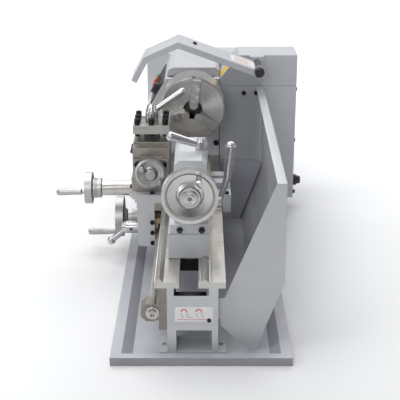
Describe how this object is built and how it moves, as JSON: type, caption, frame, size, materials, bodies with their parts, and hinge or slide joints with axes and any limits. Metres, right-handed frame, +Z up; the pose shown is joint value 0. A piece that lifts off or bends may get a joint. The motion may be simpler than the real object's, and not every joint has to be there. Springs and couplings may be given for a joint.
{
  "type": "bench metal lathe",
  "caption": "Small bench metal lathe on a chip tray with a three-jaw chuck, hinged chuck guard, carriage with cross and compound slides, tailstock, splash guard and rear electrical box.",
  "frame": {"origin": "centre of the four bench bolt holes, on the underside of the chip tray", "axes": "+X along the bed from the headstock to the tailstock, +Y to the back, +Z up"},
  "size_m": [0.723, 0.383, 0.308],
  "materials": {
    "painted_casting": "satin",
    "painted_sheet": "satin",
    "ground_steel": "ground",
    "turned_steel": "turned",
    "cast_iron": "machined",
    "bright_steel": "polished",
    "black_oxide": "black oxide",
    "gear_steel": "machined",
    "brass": "machined",
    "belt_rubber": "matte",
    "black_plastic": "satin",
    "red_plastic": "gloss",
    "green_plastic": "gloss",
    "motor_paint": "satin"
  },
  "bodies": {
    "machine_frame": {"chip_tray": "painted_sheet", "bed_feet": "painted_casting", "bed": "ground_steel", "carriage_rack": "gear_steel", "leadscrew_brackets": "cast_iron", "headstock_housing": "painted_casting", "headstock_lid": "painted_sheet", "spindle_bearings": "gear_steel", "control_panel": "black_plastic", "end_plate": "painted_casting", "gear_cover": "painted_sheet", "drive_motor": "motor_paint", "drive_belt": "belt_rubber", "rear_box": "painted_sheet", "cable_gland": "black_plastic", "splash_guard": "painted_sheet", "fan_duct": "painted_sheet", "frame_screws": "black_oxide"},
    "spindle": {"spindle": "ground_steel", "chuck_backplate": "cast_iron", "chuck_body": "turned_steel", "spindle_pulley_and_gear": "gear_steel"},
    "scroll": {"chuck_scroll": "gear_steel"},
    "jaw_1": {"chuck_jaw_1": "ground_steel"},
    "jaw_2": {"chuck_jaw_2": "ground_steel"},
    "jaw_3": {"chuck_jaw_3": "ground_steel"},
    "motor_rotor": {"motor_shaft_pulley": "gear_steel"},
    "idler": {"idler_gear": "gear_steel"},
    "leadscrew": {"leadscrew_and_gear": "ground_steel"},
    "chuck_guard": {"guard_hood": "painted_sheet", "guard_pivot_rod": "black_plastic"},
    "speed_control": {"speed_knob": "black_plastic"},
    "stop_control": {"stop_button": "red_plastic"},
    "start_control": {"start_button": "green_plastic"},
    "carriage": {"saddle": "painted_casting", "apron": "painted_casting", "saddle_keepers": "cast_iron", "cross_screw_housing": "ground_steel", "carriage_screws": "black_oxide"},
    "carriage_wheel": {"carriage_handwheel": "turned_steel"},
    "pinion_shaft": {"rack_pinion_shaft": "gear_steel"},
    "half_nut_lever": {"half_nut_lever": "bright_steel"},
    "upper_half_nut": {"half_nut_upper": "brass"},
    "lower_half_nut": {"half_nut_lower": "brass"},
    "cross_wheel": {"cross_handwheel": "turned_steel"},
    "cross_slide": {"cross_slide": "cast_iron", "cross_feed_nut": "brass"},
    "compound": {"compound_base": "cast_iron"},
    "compound_wheel": {"compound_handwheel": "turned_steel"},
    "top_slide": {"top_slide": "cast_iron"},
    "toolpost": {"toolpost": "ground_steel", "toolpost_screws": "black_oxide"},
    "toolpost_clamp": {"toolpost_lever": "bright_steel"},
    "tailstock": {"tailstock_base": "painted_casting", "tailstock_body": "painted_casting", "tailstock_clamp": "cast_iron"},
    "tailstock_wheel": {"tailstock_handwheel": "turned_steel"},
    "quill": {"tailstock_quill": "ground_steel"},
    "quill_lock": {"quill_lock_lever": "bright_steel"},
    "tailstock_clamp_lever": {"tailstock_clamp_lever": "bright_steel"}
  },
  "joints": [
    {"name": "spindle_turn", "type": "hinge", "parent": "machine_frame", "child": "spindle", "pos_m": [0, -0.003, 0.2], "axis": [1, 0, 0], "continuous": true},
    {"name": "scroll_turn", "type": "hinge", "parent": "spindle", "child": "scroll", "pos_m": [-0.12, -0.003, 0.2], "axis": [1, 0, 0], "range_deg": [-72, 1008]},
    {"name": "jaw_1_slide", "type": "slide", "parent": "spindle", "child": "jaw_1", "axis": [0, 0.1392, 0.9903], "range_m": [-0.001, 0.01401]},
    {"name": "jaw_2_slide", "type": "slide", "parent": "spindle", "child": "jaw_2", "axis": [0, -0.9272, -0.3746], "range_m": [-0.001, 0.01401]},
    {"name": "jaw_3_slide", "type": "slide", "parent": "spindle", "child": "jaw_3", "axis": [0, 0.788, -0.6157], "range_m": [-0.001, 0.01401]},
    {"name": "motor_turn", "type": "hinge", "parent": "machine_frame", "child": "motor_rotor", "pos_m": [-0.3, 0.098, 0.076], "axis": [1, 0, 0], "continuous": true},
    {"name": "idler_turn", "type": "hinge", "parent": "machine_frame", "child": "idler", "pos_m": [-0.34, -0.01326, 0.12571], "axis": [1, 0, 0], "continuous": true},
    {"name": "leadscrew_turn", "type": "hinge", "parent": "machine_frame", "child": "leadscrew", "pos_m": [0, -0.0485, 0.0595], "axis": [1, 0, 0], "continuous": true},
    {"name": "guard_hinge", "type": "hinge", "parent": "machine_frame", "child": "chuck_guard", "pos_m": [-0.12, 0.099, 0.263], "axis": [1, 0, 0], "range_deg": [-75, 16]},
    {"name": "speed_turn", "type": "hinge", "parent": "machine_frame", "child": "speed_control", "pos_m": [-0.21, -0.06323, 0.206], "axis": [0, -0.865, 0.5017], "range_deg": [-30, 270]},
    {"name": "stop_press", "type": "slide", "parent": "machine_frame", "child": "stop_control", "axis": [0, 0.865, -0.5017], "range_m": [0, 0.003], "stiffness_N_per_m": 300, "springref_m": -0.002},
    {"name": "start_press", "type": "slide", "parent": "machine_frame", "child": "start_control", "axis": [0, 0.865, -0.5017], "range_m": [0, 0.0025], "stiffness_N_per_m": 200, "springref_m": -0.002},
    {"name": "carriage_wheel_turn", "type": "hinge", "parent": "carriage", "child": "carriage_wheel", "pos_m": [-0.018, -0.08, 0.0545], "axis": [0, 1, 0], "range_deg": [-458.87, 560.73]},
    {"name": "pinion_turn", "type": "hinge", "parent": "carriage", "child": "pinion_shaft", "pos_m": [0.0023, -0.06, 0.0723], "axis": [0, 1, 0], "range_deg": [-280.61, 229.68]},
    {"name": "carriage_slide", "type": "slide", "parent": "machine_frame", "child": "carriage", "axis": [1, 0, 0], "range_m": [-0.045, 0.055]},
    {"name": "half_nut_lever_turn", "type": "hinge", "parent": "carriage", "child": "half_nut_lever", "pos_m": [0.04, -0.08, 0.0605], "axis": [0, 1, 0], "range_deg": [-30, 0]},
    {"name": "upper_nut_slide", "type": "slide", "parent": "carriage", "child": "upper_half_nut", "axis": [0, 0, -1], "range_m": [-0.00001, 0.00501]},
    {"name": "lower_nut_slide", "type": "slide", "parent": "carriage", "child": "lower_half_nut", "axis": [0, 0, 1], "range_m": [-0.00001, 0.00501]},
    {"name": "cross_wheel_turn", "type": "hinge", "parent": "carriage", "child": "cross_wheel", "pos_m": [0.01, -0.12, 0.111], "axis": [0, -1, 0], "range_deg": [-3242, 7202]},
    {"name": "cross_slide_travel", "type": "slide", "parent": "carriage", "child": "cross_slide", "axis": [0, 1, 0], "range_m": [-0.018, 0.04]},
    {"name": "compound_swivel", "type": "hinge", "parent": "cross_slide", "child": "compound", "pos_m": [0.01, -0.061, 0.14], "axis": [0, 0, 1], "range_deg": [-45, 40]},
    {"name": "compound_wheel_turn", "type": "hinge", "parent": "compound", "child": "compound_wheel", "pos_m": [0.07, -0.061, 0.156], "axis": [1, 0, 0], "range_deg": [-2, 7202]},
    {"name": "top_slide_travel", "type": "slide", "parent": "compound", "child": "top_slide", "axis": [-1, 0, 0], "range_m": [0, 0.03]},
    {"name": "toolpost_index", "type": "hinge", "parent": "top_slide", "child": "toolpost", "pos_m": [0.01, -0.061, 0.187], "axis": [0, 0, 1], "range_deg": [-180, 180]},
    {"name": "toolpost_clamp_turn", "type": "hinge", "parent": "top_slide", "child": "toolpost_clamp", "pos_m": [0.01, -0.061, 0.22], "axis": [0, 0, 1], "range_deg": [-40, 60]},
    {"name": "tailstock_slide", "type": "slide", "parent": "machine_frame", "child": "tailstock", "axis": [1, 0, 0], "range_m": [-0.052, 0.055]},
    {"name": "tailstock_wheel_turn", "type": "hinge", "parent": "tailstock", "child": "tailstock_wheel", "pos_m": [0.27, -0.003, 0.2], "axis": [1, 0, 0], "range_deg": [-360, 8100]},
    {"name": "quill_travel", "type": "slide", "parent": "tailstock", "child": "quill", "axis": [-1, 0, 0], "range_m": [-0.002, 0.04505]},
    {"name": "quill_lock_turn", "type": "hinge", "parent": "tailstock", "child": "quill_lock", "pos_m": [0.2, 0.011, 0.23], "axis": [0, 0, 1], "range_deg": [-50, 20]},
    {"name": "tailstock_clamp_turn", "type": "hinge", "parent": "tailstock", "child": "tailstock_clamp_lever", "pos_m": [0.18, 0.022, 0.153], "axis": [0, 1, 0], "range_deg": [-35, 35]}
  ],
  "couplings": [
    {"joint": "jaw_1_slide", "follows": "scroll_turn", "m_per_rad": 0.00079577},
    {"joint": "jaw_2_slide", "follows": "scroll_turn", "m_per_rad": 0.00079577},
    {"joint": "jaw_3_slide", "follows": "scroll_turn", "m_per_rad": 0.00079577},
    {"joint": "motor_turn", "follows": "spindle_turn", "ratio": 2.1429},
    {"joint": "idler_turn", "follows": "spindle_turn", "ratio": -0.66667},
    {"joint": "leadscrew_turn", "follows": "spindle_turn", "ratio": 1},
    {"joint": "pinion_turn", "follows": "carriage_slide", "rad_per_m": -88.889},
    {"joint": "carriage_wheel_turn", "follows": "carriage_slide", "rad_per_m": 177.78},
    {"joint": "upper_nut_slide", "follows": "half_nut_lever_turn", "m_per_rad": -0.0095493},
    {"joint": "lower_nut_slide", "follows": "half_nut_lever_turn", "m_per_rad": -0.0095493},
    {"joint": "cross_wheel_turn", "follows": "cross_slide_travel", "rad_per_m": 3141.6},
    {"joint": "compound_wheel_turn", "follows": "top_slide_travel", "rad_per_m": 4188.8},
    {"joint": "quill_travel", "follows": "tailstock_wheel_turn", "m_per_rad": 0.00031831}
  ]
}
